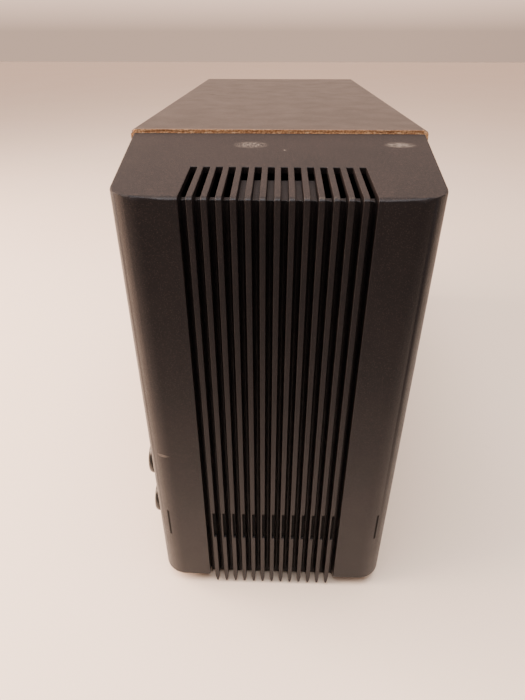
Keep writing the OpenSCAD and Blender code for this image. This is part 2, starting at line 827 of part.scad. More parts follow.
module tuning_drum() color([0.9, 0.88, 0.82]) {
    difference() {
        turned_x(drum_y, drum_z, [[shaft_r, drum_x - 2], [drum_r + 1, drum_x - 2], [drum_r + 1, drum_x - 1],
            [drum_r - 1.4, drum_x - 0.7], [drum_r - 1.4, drum_x + 0.7], [drum_r + 1, drum_x + 1],
            [drum_r + 1, drum_x + 2], [8, drum_x + 2], [8, drum_x + 4], [shaft_r, drum_x + 4]]);
        for (a = [30:60:330]) translate([0, drum_y, drum_z]) rotate([a, 0, 0])
            rod_x(4.5, drum_x - 3, drum_x + 3, 15, 0);
    }
}

module half_disc(r, inner, thick) {
    difference() {
        cylinder(r = r, h = thick);
        translate([0, 0, -1]) cylinder(r = inner, h = thick + 2);
        translate([0, -r - 1, -1]) cube([r + 1, 2 * r + 2, thick + 2]);
    }
}

module capacitor_frame() color([0.75, 0.75, 0.72]) {
    difference() {
        union() {
            for (x = [sink_x0 + 2, -3])
                box([x, drum_y - 22, drum_z - 20], [x + 1.5, drum_y + 22, drum_z + 26]);
            box([sink_x0 + 2, drum_y - 22, drum_z + 24.5], [-1.5, drum_y + 22, drum_z + 26]);
            for (y = [-18, 18]) rod_x(3, sink_x0, sink_x0 + 2, drum_y + y, drum_z + 20);
        }
        rod_x(shaft_r + run_gap, sink_x0, 0, drum_y, drum_z);
    }
}

module capacitor_stator() color([0.85, 0.85, 0.83]) {
    for (i = [0:stator_count - 1])
        translate([stator_x0 + i * plate_pitch, drum_y, drum_z]) rotate([0, 90, 0])
            half_disc(stator_r, 6, plate_t);
    for (y = [-11, 11])
        rod_x(1.5, sink_x0 + 3.5, -3, drum_y + y, drum_z + 17);
}

module capacitor_rotor() color([0.8, 0.8, 0.78]) {
    translate([0, drum_y, drum_z]) rotate([rotor_rest_turn, 0, 0])
        for (i = [0:stator_count - 2])
            translate([stator_x0 + (i + 0.5) * plate_pitch, 0, 0]) rotate([0, 90, 0])
                half_disc(rotor_r, shaft_r, plate_t);
    rod_x(shaft_r, drum_x - 2, 0, drum_y, drum_z);
}

module knob(z) {
    difference() {
        union() {
            rod_x(knob_r, knob_front_x + 1.2, knob_seat_x - 0.4, knob_y, z);
            rod_x(knob_r - 1, knob_front_x, knob_front_x + 2, knob_y, z);
        }
        rod_x(knob_r - 3, knob_front_x - 1, knob_front_x + 0.8, knob_y, z);
        rod_x(shaft_r, knob_front_x + 3, knob_seat_x, knob_y, z);
    }
}

module tuning_knob() color([0.04, 0.04, 0.04]) {
    knob(tuning_z);
}

module tuning_spindle() color("silver") {
    rod_x(shaft_r, knob_front_x + 3, -34, knob_y, tuning_z);
}

module tuning_bush() color("gold") {
    difference() {
        union() {
            rod_x(bush_r, chassis_x - 3, sink_x0 + 3, knob_y, tuning_z);
            rod_x(bush_r + 1.75, sink_x0, sink_x0 + 2, knob_y, tuning_z);
        }
        rod_x(shaft_r + run_gap, chassis_x - 4, -30, knob_y, tuning_z);
    }
}

module volume_knob() color([0.04, 0.04, 0.04]) {
    knob(volume_z);
}

module volume_shaft() color("silver") {
    rod_x(shaft_r, knob_front_x + 3, -32, knob_y, volume_z);
}

module volume_pot() color([0.65, 0.65, 0.62]) {
    difference() {
        union() {
            rod_x(shaft_r + 1, chassis_x - 4, sink_x0, knob_y, volume_z);
            rod_x(10, sink_x0, sink_x0 + 12, knob_y, volume_z);
        }
        rod_x(shaft_r + run_gap, chassis_x - 5, -31.5, knob_y, volume_z);
    }
}

sleeve();
end_cover();
far_panel();
corner_battens();
panel_screws();
cover_screws();
feet();
baffle_board();
speaker_grille();
grille_cloth();
speaker_basket();
speaker_magnet();
speaker_bolts();
speaker_surround();
speaker_spider();
speaker_cone();
voice_coil();
chassis();
chassis_pillars();
circuit_board();
if_transformers();
crystal_diode();
signal_transistors();
resistors();
small_capacitors();
heat_sink();
output_transistors();
bridge_rectifier();
smoothing_capacitors();
transformer_core();
transformer_winding();
ferrite_rod();
aerial_coil();
rod_clips();
connection_panel();
aerial_socket();
earth_socket();
earphone_jack();
mains_inlet();
inlet_pins();
fuse_holder();
dial_bezel();
dial_window();
dial_scale();
dial_lamp();
lamp_holder();
pointer_rail();
dial_pointer();
dial_cord();
cord_pulleys();
tuning_drum();
capacitor_frame();
capacitor_stator();
capacitor_rotor();
tuning_knob();
tuning_spindle();
tuning_bush();
volume_knob();
volume_shaft();
volume_pot();
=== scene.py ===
import json
import math
import random

import bmesh
import bpy
from mathutils import Matrix, Vector, noise


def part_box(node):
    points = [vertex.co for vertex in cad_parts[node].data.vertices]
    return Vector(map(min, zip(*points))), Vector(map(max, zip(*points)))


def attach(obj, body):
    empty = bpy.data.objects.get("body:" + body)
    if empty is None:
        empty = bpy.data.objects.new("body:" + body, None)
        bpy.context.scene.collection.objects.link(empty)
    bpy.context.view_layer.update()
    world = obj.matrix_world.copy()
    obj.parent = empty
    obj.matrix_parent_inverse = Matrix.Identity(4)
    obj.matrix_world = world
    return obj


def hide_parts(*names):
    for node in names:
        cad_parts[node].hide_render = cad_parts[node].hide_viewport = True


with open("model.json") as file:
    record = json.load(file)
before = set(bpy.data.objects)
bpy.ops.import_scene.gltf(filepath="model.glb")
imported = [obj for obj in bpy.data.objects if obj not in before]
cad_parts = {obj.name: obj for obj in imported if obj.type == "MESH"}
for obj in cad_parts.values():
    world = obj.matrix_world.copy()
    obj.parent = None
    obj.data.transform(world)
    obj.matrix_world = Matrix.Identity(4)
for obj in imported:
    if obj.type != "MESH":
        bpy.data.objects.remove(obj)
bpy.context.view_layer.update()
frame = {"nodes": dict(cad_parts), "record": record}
nodes = frame["nodes"]
random.seed(7)

# all lengths below are in millimetres unless they are multiplied by MM
MM = 0.001
COVER_L = 88
COVER_BACK_HALF_W = 73.5
COVER_NEAR_HALF_W = 63.7
COVER_NEAR_TOP_Z = 234.5
COVER_TOP_DROP = 8
COVER_BACK_Y = -116
FIN_PITCH = 5.45
FIN_TIP_Z = (7.4, 6.4, 5.2, 4, 3, 2.4)
# place of the painted shade band on the fins; no rebate is built
REBATE_SHADE_Z = (42.6, 62.4)
REBATE_SHADE_Y = (-202.9, -202.1)
DIAL_BACK = 44
DIAL_PLACE = (-160, 150)
SCALE_FACE_X = (7.9, 8.05)
FOOT_PLACES = [(x, y) for x in (-55, 55) for y in (-90, 180)]
RESISTOR_Y = (-110, -118, -126, -134, -142, -150)
RESISTOR_Z = (176, 152, 128)
RANGE_SOCKETS = ("From Min", "From Max", "To Min", "To Max")


# ---------- camera, floor and light ----------
def make_camera():
    data = bpy.data.cameras.new("camera")
    data.lens = 25.98
    data.sensor_width = 36
    data.clip_start = 0.01
    data.clip_end = 50
    camera = bpy.data.objects.new("camera", data)
    camera.location = (0.0001, -0.3894, 0.2857)
    camera.rotation_euler = (math.radians(57.77), 0, math.radians(1.725))
    bpy.context.collection.objects.link(camera)
    bpy.context.scene.camera = camera


def area_light(name, place, aim, size, power, colour):
    data = bpy.data.lights.new(name, "AREA")
    data.shape = "RECTANGLE"
    data.size, data.size_y = size
    data.energy = power
    data.color = colour
    light = bpy.data.objects.new(name, data)
    light.location = place
    light.rotation_euler = (Vector(aim) - Vector(place)).to_track_quat("-Z", "Y").to_euler()
    light.visible_camera = False
    bpy.context.collection.objects.link(light)


# ---------- procedural finishes ----------
class Finish:
    """A node material. Lengths are in millimetres and follow the object's own coordinates."""

    def __init__(self, name, colour, rough, metallic=0.0, **values):
        self.material = bpy.data.materials.new(name)
        self.material.use_nodes = True
        self.nodes = self.material.node_tree.nodes
        self.links = self.material.node_tree.links
        self.shader = self.nodes["Principled BSDF"]
        self.shader.inputs["Base Color"].default_value = (*colour, 1)
        self.shader.inputs["Roughness"].default_value = rough
        self.shader.inputs["Metallic"].default_value = metallic
        for socket, value in values.items():
            self.shader.inputs[socket.replace("_", " ")].default_value = value
        self.place = self.nodes.new("ShaderNodeTexCoord").outputs["Object"]
        self.colour = self.rgb(colour)
        self.rough = None
        self.base_rough = rough
        self.normal = None

    def rgb(self, colour):
        node = self.nodes.new("ShaderNodeRGB")
        node.outputs[0].default_value = (*colour, 1)
        return node.outputs[0]

    def stretched(self, size):
        node = self.nodes.new("ShaderNodeMapping")
        node.inputs["Scale"].default_value = [1 / (MM * s) for s in size]
        self.links.new(self.place, node.inputs["Vector"])
        return node.outputs["Vector"]

    def noise(self, size, detail=3.0, rough=0.55):
        """Noise whose features are about size millimetres long along X, Y and Z."""
        size = size if isinstance(size, tuple) else (size,) * 3
        node = self.nodes.new("ShaderNodeTexNoise")
        node.inputs["Scale"].default_value = 1
        node.inputs["Detail"].default_value = detail
        node.inputs["Roughness"].default_value = rough
        self.links.new(self.stretched(size), node.inputs["Vector"])
        return node.outputs["Fac"]

    def cells(self, size, feature="F1"):
        node = self.nodes.new("ShaderNodeTexVoronoi")
        node.feature = feature
        node.inputs["Scale"].default_value = 1
        self.links.new(self.stretched((size,) * 3), node.inputs["Vector"])
        return node.outputs["Distance"]

    def stripes(self, size, axis, bend=0.0):
        """Bands that repeat every size millimetres along X, Y or Z."""
        node = self.nodes.new("ShaderNodeTexWave")
        node.bands_direction = axis
        node.inputs["Scale"].default_value = 0.314
        node.inputs["Distortion"].default_value = bend
        self.links.new(self.stretched((size,) * 3), node.inputs["Vector"])
        return node.outputs["Fac"]

    def range(self, value, low, high, to_low=0.0, to_high=1.0):
        node = self.nodes.new("ShaderNodeMapRange")
        for socket, number in zip(RANGE_SOCKETS, (low, high, to_low, to_high)):
            node.inputs[socket].default_value = number
        self.links.new(value, node.inputs["Value"])
        return node.outputs["Result"]

    def maths(self, operation, a, b):
        node = self.nodes.new("ShaderNodeMath")
        node.operation = operation
        for socket, value in zip(node.inputs, (a, b)):
            if isinstance(value, (int, float)):
                socket.default_value = value
            else:
                self.links.new(value, socket)
        return node.outputs["Value"]

    def times(self, a, b):
        return self.maths("MULTIPLY", a, b)

    def near(self, centre, radii):
        """1 at a point and 0 outside the ellipsoid round it."""
        node = self.nodes.new("ShaderNodeMapping")
        node.vector_type = "TEXTURE"
        node.inputs["Location"].default_value = [MM * c for c in centre]
        node.inputs["Scale"].default_value = [MM * r for r in radii]
        self.links.new(self.place, node.inputs["Vector"])
        length = self.nodes.new("ShaderNodeVectorMath")
        length.operation = "LENGTH"
        self.links.new(node.outputs["Vector"], length.inputs[0])
        return self.range(length.outputs["Value"], 1, 0.35)

    def upward(self, low=0.3, high=1.0):
        geometry = self.nodes.new("ShaderNodeNewGeometry")
        split = self.nodes.new("ShaderNodeSeparateXYZ")
        self.links.new(geometry.outputs["Normal"], split.inputs["Vector"])
        return self.range(split.outputs["Z"], low, high)

    def along(self, axis, low, high):
        """0 to 1 as a place goes from low to high millimetres along X, Y or Z."""
        split = self.nodes.new("ShaderNodeSeparateXYZ")
        self.links.new(self.place, split.inputs["Vector"])
        return self.range(split.outputs[axis], MM * low, MM * high)

    def tint(self, amount, colour):
        node = self.nodes.new("ShaderNodeMix")
        node.data_type = "RGBA"
        self.links.new(amount, node.inputs["Factor"])
        self.links.new(self.colour, node.inputs[6])
        node.inputs[7].default_value = (*colour, 1)
        self.colour = node.outputs[2]
        return self

    def dull(self, amount, rough):
        node = self.nodes.new("ShaderNodeMix")
        self.links.new(amount, node.inputs["Factor"])
        if self.rough is None:
            node.inputs["A"].default_value = self.base_rough
        else:
            self.links.new(self.rough, node.inputs["A"])
        node.inputs["B"].default_value = rough
        self.rough = node.outputs["Result"]
        return self

    def relief(self, height, depth, strength=1.0):
        """Raised detail depth millimetres high."""
        node = self.nodes.new("ShaderNodeBump")
        node.inputs["Distance"].default_value = MM * depth
        node.inputs["Strength"].default_value = strength
        self.links.new(height, node.inputs["Height"])
        if self.normal is not None:
            self.links.new(self.normal, node.inputs["Normal"])
        self.normal = node.outputs["Normal"]
        return self

    def done(self):
        self.links.new(self.colour, self.shader.inputs["Base Color"])
        if self.rough is not None:
            self.links.new(self.rough, self.shader.inputs["Roughness"])
        if self.normal is not None:
            self.links.new(self.normal, self.shader.inputs["Normal"])
        return self.material


def lighter(colour, by):
    return tuple(min(1, c * by) for c in colour)


def moulded(name, colour, rough, grain=0.5, depth=0.03, shade=1.5):
    """Moulded plastic or rubber: fine grain, uneven gloss and a little dust."""
    f = Finish(name, colour, rough)
    f.tint(f.range(f.noise(22), 0.35, 0.75), lighter(colour, shade))
    f.dull(f.range(f.noise(9, 4), 0.3, 0.8), min(1, rough + 0.14))
    f.tint(f.times(f.times(f.upward(), f.range(f.noise(1.4, 5), 0.5, 0.8)), 0.16), (0.36, 0.33, 0.3))
    f.relief(f.noise(grain, 2), depth)
    return f.done()


def metal(name, colour, rough, grain=(0.3, 0.3, 6), depth=0.006, tarnish=0.25, stain=0.45, metallic=1.0):
    """Metal with drawn or brushed grain and patches of tarnish."""
    f = Finish(name, colour, rough, metallic)
    f.tint(f.times(f.range(f.noise(7, 5, 0.6), 0.45, 0.75), tarnish * 2), lighter(colour, stain))
    f.dull(f.range(f.noise(grain, 3), 0.3, 0.75), min(1, rough + 0.2))
    f.relief(f.noise(grain, 3), depth)
    f.relief(f.noise(1.2, 2), depth * 2)
    return f.done()


def fibrous(name, colour, rough, grain, depth=0.05, dark=0.55, flecks=0.0):
    """Board, wood or paper: long fibres, darker flecks and an uneven surface."""
    f = Finish(name, colour, rough)
    f.tint(f.range(f.noise(grain, 5, 0.65), 0.4, 0.75), lighter(colour, dark))
    if flecks:
        f.tint(f.times(f.range(f.cells(flecks), 0.35, 0.1), 0.6), lighter(colour, dark * 0.5))
    f.dull(f.range(f.noise(4, 4), 0.3, 0.8), min(1, rough + 0.15))
    f.relief(f.noise(grain, 5, 0.65), depth)
    return f.done()


def woven(name, colour, rough, pitch, depth=0.12, across=("Y", "Z")):
    """Cloth: two crossing sets of threads."""
    f = Finish(name, colour, rough)
    threads = [f.stripes(pitch, axis, 1.2) for axis in across]
    weave = f.maths("MAXIMUM", *threads)
    f.tint(f.range(weave, 0.9, 0.2), lighter(colour, 0.35))
    f.tint(f.range(f.noise(18, 4), 0.45, 0.8), lighter(colour, 1.6))
    f.dull(f.range(f.noise(2, 3), 0.3, 0.8), min(1, rough + 0.1))
    f.relief(weave, depth)
    return f.done()


def cover_finish():
    """Black moulded plastic with a bumped grain and painted sparkle specks, the marks of use that the cover
    shows, a painted shade band low on the fins, and a painted highlight along the top front edge.
    """
    f = Finish("moulded_cover", (0.013, 0.0115, 0.0125), 0.32, Specular_IOR_Level=0.2,
               Specular_Tint=(0.72, 0.84, 1.0, 1))
    f.tint(f.range(f.noise(35, 4), 0.35, 0.75), (0.018, 0.015, 0.0155))
    f.dull(f.range(f.noise(12, 5), 0.3, 0.8), 0.42)
    f.dull(f.upward(0.7, 0.95), 0.6)
    # painted highlight: light specks in the colour stand in for the sparkle glints of the grain; the grain's
    # real bump is the relief further down
    f.tint(f.times(f.range(f.cells(0.6), 0.32, 0.05), 0.3), (0.14, 0.11, 0.105))
    # painted shade: a near-black band low on the fins stands in for the shadow inside a rebate that is not
    # built; the band is also made rougher
    (z0, z1), (y0, y1), edge = REBATE_SHADE_Z, REBATE_SHADE_Y, 0.2
    rebate_shade_band = f.times(f.times(f.along("Z", z0, z0 + edge), f.along("Z", z1, z1 - edge)),
                   f.times(f.along("Y", y0, y0 + edge), f.along("Y", y1, y1 - edge)))
    f.tint(rebate_shade_band, (0.003, 0.0025, 0.0025))
    f.dull(rebate_shade_band, 0.9)
    dust = f.times(f.upward(0.6, 1), f.range(f.noise(1.1, 6, 0.7), 0.52, 0.78))
    f.tint(f.times(dust, 0.1), (0.34, 0.25, 0.21))
    # marks of use: scuffs and a speck on the top and scratches on the near face; the last entry is a painted
    # highlight along the top front edge, not wear
    for centre, radii, size, strength in (
            ((-13, -137, 240.6), (9, 6, 5), (0.6, 3, 3), 0.35),
            ((57, -136, 240.7), (8, 5, 5), (3, 0.7, 3), 0.5),
            ((3, -145, 239.9), (0.9, 0.6, 2), 0.5, 1.0),
            ((-57, -204, 104), (5, 3, 1.1), (6, 6, 0.5), 0.55),
            ((-2, -203, 74), (0.55, 6, 13), (1, 1, 5), 0.9),
            # painted highlight: a light streak along the top front edge
            ((20, -204, 235), (26, 1.6, 1.4), 0.8, 0.35)):
        mark = f.times(f.near(centre, radii), f.range(f.noise(size, 4), 0.4, 0.62))
        f.tint(f.times(mark, strength), (0.42, 0.37, 0.33))
        f.dull(mark, 0.75)
    f.relief(f.noise(0.5, 2, 0.6), 0.13)
    f.relief(f.noise(1.6, 3), 0.03)
    return f.done()


def vinyl_finish():
    """Black vinyl over chipboard: a soft pebble grain, rubbed at the corners."""
    f = Finish("vinyl_wrap", (0.016, 0.0135, 0.0135), 0.4, Specular_IOR_Level=0.3,
               Specular_Tint=(0.8, 0.88, 1.0, 1))
    f.tint(f.range(f.noise(40, 4), 0.35, 0.75), (0.023, 0.018, 0.0175))
    f.dull(f.range(f.noise(15, 5), 0.3, 0.8), 0.5)
    dust = f.times(f.upward(0.6, 1), f.range(f.noise((2, 1, 1), 6, 0.7), 0.45, 0.8))
    f.tint(f.times(dust, 0.18), (0.36, 0.26, 0.21))
    # the dent is bumped in and also painted darker: painted shade in its hollow
    dent_with_painted_shade = f.near((-51.4, 46, 244), (3.2, 4.5, 3))
    f.tint(f.times(dent_with_painted_shade, 0.9), (0.012, 0.009, 0.008))
    rubbed = f.times(f.along("Y", -112.5, -116), f.range(f.noise(1.3, 5, 0.7), 0.47, 0.6))
    f.tint(f.times(rubbed, 0.75), (0.3, 0.17, 0.09))
    f.relief(f.cells(0.9, "SMOOTH_F1"), 0.05)
    f.relief(f.noise(3, 3), 0.06)
    f.relief(dent_with_painted_shade, -0.5)
    return f.done()


def raw_board_finish():
    """Raw chipboard where the wrap stops."""
    f = Finish("raw_board", (0.62, 0.36, 0.18), 0.85)
    f.tint(f.range(f.cells(1.1), 0.2, 0.6), (0.3, 0.15, 0.07))
    f.tint(f.range(f.noise((2.4, 0.6, 0.6), 5, 0.7), 0.5, 0.72), (0.95, 0.72, 0.46))
    f.relief(f.noise(0.7, 5, 0.7), 0.25)
    return f.done()


def glass(name, colour, rough, speck=0.25):
    """Clear plastic or glass with fine hair scratches and a few dust specks."""
    f = Finish(name, colour, rough, Transmission_Weight=0.985, IOR=1.46)
    f.dull(f.times(f.range(f.noise((0.3, 0.3, 9), 3), 0.55, 0.75), 0.6), 0.35)
    f.tint(f.times(f.range(f.cells(1.8), 0.12, 0.04), speck), lighter(colour, 0.6))
    f.relief(f.noise(5, 2), 0.01)
    return f.done()


def circuit_finish():
    """Brown laminate with solder-side tracks showing through it."""
    f = Finish("laminate_board", (0.3, 0.17, 0.07), 0.5)
    tracks = f.maths("MAXIMUM", f.range(f.stripes(6, "Y", 3.0), 0.62, 0.7),
                     f.range(f.stripes(9, "Z", 3.5), 0.7, 0.78))
    f.tint(f.times(tracks, 0.7), (0.42, 0.26, 0.1))
    f.tint(f.range(f.noise((0.4, 0.4, 6), 4), 0.5, 0.8), (0.2, 0.11, 0.045))
    f.dull(tracks, 0.3)
    f.relief(tracks, 0.05)
    return f.done()


def banded(name, colour, rough, pitch, axis, dark=0.45, depth=0.1, metallic=0.0):
    """Wound wire or stacked sheet: even bands along one axis."""
    f = Finish(name, colour, rough, metallic)
    bands = f.stripes(pitch, axis, 0.15)
    f.tint(f.range(bands, 0.5, 0.05), lighter(colour, dark))
    f.tint(f.times(f.range(f.noise(5, 4), 0.5, 0.8), 0.5), lighter(colour, 0.6))
    f.dull(f.range(f.noise(3, 3), 0.3, 0.8), min(1, rough + 0.2))
    f.relief(bands, depth)
    return f.done()


def all_finishes():
    return {
        "vinyl_wrap": vinyl_finish(),
        "moulded_cover": cover_finish(),
        "raw_board": raw_board_finish(),
        "far_panel_board": moulded("far_panel_board", (0.03, 0.026, 0.024), 0.6, 0.8, 0.08),
        "softwood": fibrous("softwood", (0.62, 0.42, 0.22), 0.6, (1.2, 1.2, 22), 0.12),
        "screw_steel": metal("screw_steel", (0.5, 0.49, 0.47), 0.3, (0.6, 0.6, 0.6), 0.01, 0.5),
        "foot_rubber": moulded("foot_rubber", (0.02, 0.02, 0.02), 0.72, 0.7, 0.06),
        "baffle_board": fibrous("baffle_board", (0.09, 0.065, 0.045), 0.8, (1, 3, 1), 0.2, 0.5, 2.2),
        "grille_plastic": moulded("grille_plastic", (0.014, 0.0135, 0.0135), 0.36, 0.45, 0.03),
        "grille_cloth": woven("grille_cloth", (0.045, 0.038, 0.032), 0.85, 1.1),
        "pressed_steel": metal("pressed_steel", (0.32, 0.33, 0.34), 0.42, (1.5, 1.5, 1.5), 0.03, 0.35),
        "magnet_ferrite": moulded("magnet_ferrite", (0.055, 0.055, 0.06), 0.55, 0.9, 0.09),
        "plated_steel": metal("plated_steel", (0.56, 0.54, 0.47), 0.33, (3, 3, 3), 0.015, 0.35, 0.6),
        "laminate_board": circuit_finish(),
        "can_aluminium": metal("can_aluminium", (0.72, 0.72, 0.72), 0.3, (0.4, 0.4, 5), 0.01),
        "clear_glass": glass("clear_glass", (0.95, 0.93, 0.88), 0.06),
        "component_black": moulded("component_black", (0.03, 0.03, 0.032), 0.5, 0.5, 0.05),
        "resistor_ceramic": moulded("resistor_ceramic", (0.6, 0.43, 0.25), 0.45, 0.6, 0.02, 1.15),
        "capacitor_sleeve": moulded("capacitor_sleeve", (0.05, 0.11, 0.26), 0.35, 1.2, 0.02, 1.3),
        "sink_aluminium": metal("sink_aluminium", (0.5, 0.5, 0.52), 0.38, (0.5, 0.5, 12), 0.015),
        "core_steel": banded("core_steel", (0.3, 0.28, 0.27), 0.5, 0.7, "Y", 0.4, 0.1, 0.8),
        "copper_winding": banded("copper_winding", (0.62, 0.27, 0.1), 0.35, 0.45, "Z", 0.35, 0.1, 0.8),
        "cream_plastic": moulded("cream_plastic", (0.7, 0.62, 0.47), 0.45, 0.8, 0.03, 1.1),
        "red_plastic": moulded("red_plastic", (0.42, 0.03, 0.02), 0.35, 0.8, 0.02, 1.25),
        "nickel_plate": metal("nickel_plate", (0.66, 0.63, 0.58), 0.22, (0.8, 0.8, 0.8), 0.008),
        "bezel_metal": metal("bezel_metal", (0.62, 0.6, 0.55), 0.28, (0.25, 0.25, 9), 0.008, 0.15, 0.7),
        "clear_window": glass("clear_window", (0.97, 0.97, 0.95), 0.04),
        "scale_plate": fibrous("scale_plate", (0.4, 0.36, 0.25), 0.5, (1.5, 1.5, 1.5), 0.01, 0.9),
        "cord_nylon": banded("cord_nylon", (0.72, 0.68, 0.55), 0.6, 0.6, "Z", 0.6, 0.08),
        "plate_aluminium": metal("plate_aluminium", (0.68, 0.68, 0.68), 0.35, (4, 0.4, 0.4), 0.01),
        "bush_brass": metal("bush_brass", (0.68, 0.48, 0.2), 0.3, (1, 1, 1), 0.01, 0.4, 0.55),
        "surround_foam": moulded("surround_foam", (0.03, 0.028, 0.028), 0.9, 0.35, 0.12),
        "spider_cloth": woven("spider_cloth", (0.42, 0.27, 0.09), 0.9, 0.9),
        "cone_paper": fibrous("cone_paper", (0.055, 0.05, 0.045), 0.85, (1.5, 1.5, 1.5), 0.15, 1.8),
        "knob_plastic": moulded("knob_plastic", (0.014, 0.014, 0.014), 0.22, 1.5, 0.012, 1.3),
        "pointer_red": moulded("pointer_red", (0.55, 0.04, 0.015), 0.4, 0.6, 0.015, 1.2),
    }


# ---------- pieces ----------
def piece(name, mesh, body, slot, smooth=35):
    mesh.materials.clear()
    mesh.materials.append(FINISHES[slot])
    mesh.polygons.foreach_set("use_smooth", [True] * len(mesh.polygons))
    mesh.set_sharp_from_angle(angle=math.radians(smooth))
    obj = bpy.data.objects.new(name, mesh)
    bpy.context.collection.objects.link(obj)
    weighted = obj.modifiers.new("weighted", "WEIGHTED_NORMAL")
    weighted.keep_sharp = True
    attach(obj, body)
    return obj


def from_bmesh(bm, name):
    bmesh.ops.recalc_face_normals(bm, faces=bm.faces)
    mesh = bpy.data.meshes.new(name)
    bm.to_mesh(mesh)
    bm.free()
    return mesh


def turned(bm, outline, place, axis="X", steps=64):
    """Adds a closed solid round an axis: outline is (radius, distance along the axis) in millimetres.
    A radius may be a function of the angle."""
    turn = {"X": Matrix.Rotation(math.radians(90), 4, "Y"), "Y": Matrix.Rotation(math.radians(-90), 4, "X"),
            "Z": Matrix.Identity(4)}[axis]
    move = Matrix.Translation(Vector(place) * MM) @ turn
    rings = []
    for radius, far in outline:
        if radius == 0:
            rings.append([bm.verts.new(move @ Vector((0, 0, far * MM)))])
            continue
        reach = radius if callable(radius) else lambda a, r=radius: r
        angles = [2 * math.pi * (i + 0.5) / steps for i in range(steps)]
        ring = [Vector((reach(a) * math.cos(a), reach(a) * math.sin(a), far)) for a in angles]
        rings.append([bm.verts.new(move @ (v * MM)) for v in ring])
    for one, two in zip(rings, rings[1:]):
        for i in range(steps):
            j = (i + 1) % steps
            corners = [one[i % len(one)], one[j % len(one)], two[j % len(two)], two[i % len(two)]]
            bm.faces.new(list(dict.fromkeys(corners)))


def block(bm, low, high):
    """Adds a box between two corners in millimetres and returns its corner points."""
    plan = ((0, 0), (1, 0), (1, 1), (0, 1))
    made = [bm.verts.new([MM * (low, high)[k][i] for i, k in enumerate((*c, level))])
            for level in (0, 1) for c in plan]
    for f in ((0, 3, 2, 1), (4, 5, 6, 7), (0, 1, 5, 4), (1, 2, 6, 5), (2, 3, 7, 6), (3, 0, 4, 7)):
        bm.faces.new([made[i] for i in f])
    return made


def round_edges(bm, width, segments, angle=30, chosen=lambda edge: True):
    sharp = [e for e in bm.edges
             if len(e.link_faces) == 2 and e.calc_face_angle(0) > math.radians(angle) and chosen(e)]
    bmesh.ops.bevel(bm, geom=sharp, offset=width * MM, segments=segments, profile=0.5,
                    affect="EDGES", clamp_overlap=False)


def solid_of(node):
    """A node's solid with the seams of its faces joined."""
    bm = bmesh.new()
    bm.from_mesh(nodes[node].data)
    bmesh.ops.remove_doubles(bm, verts=bm.verts, dist=2e-6)
    bmesh.ops.dissolve_limit(bm, angle_limit=math.radians(0.4), verts=bm.verts, edges=bm.edges)
    return bm


def refined(node, name, body, slot, width, segments=2):
    """A piece that stands for a node, with the node's sharp edges rounded."""
    bm = solid_of(node)
    round_edges(bm, width, segments)
    made = piece(name, from_bmesh(bm, name), body, slot)
    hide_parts(node)
    return made


# ---------- cabinet ----------
def cover_pieces():
    """The finned cover: its outer top edges are rounder than its fins, whose tips thin out."""
    bm = solid_of("end_cover")
    low, high = (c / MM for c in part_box("end_cover"))

    def on_rim(edge):
        a, b = (v.co / MM for v in edge.verts)
        both = [abs(p.z - (COVER_NEAR_TOP_Z + (p.y - low.y) * COVER_TOP_DROP / COVER_L)) < 1.6
                for p in (a, b)]
        outer = [abs(p.x) > 62 or (p.y < low.y + 1.5 and abs(p.x) > 37.5) for p in (a, b)]
        return all(both) and all(outer) and max(a.y, b.y) < COVER_BACK_Y + 0.1 and edge.is_convex

    round_edges(bm, 1.1, 3, 12, on_rim)
    round_edges(bm, 0.3, 2, 40)
    for z in FIN_TIP_Z:
        bmesh.ops.bisect_plane(bm, geom=bm.verts[:] + bm.edges[:] + bm.faces[:],
                               plane_co=(0, 0, z * MM), plane_no=(0, 0, 1))
    for vert in bm.verts:
        p = vert.co / MM
        if p.z < 7.3 and p.y < low.y + 12:
            thin = 1 - 0.62 * ((7.4 - p.z) / 5.4) ** 1.6
            fin = round(p.x / FIN_PITCH) * FIN_PITCH
            if abs(fin) < 33:
                vert.co.x = MM * (fin + (p.x - fin) * thin)
    shell = piece("cover_shell", from_bmesh(bm, "cover_shell"), "cabinet", "moulded_cover", 50)
    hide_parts("end_cover")


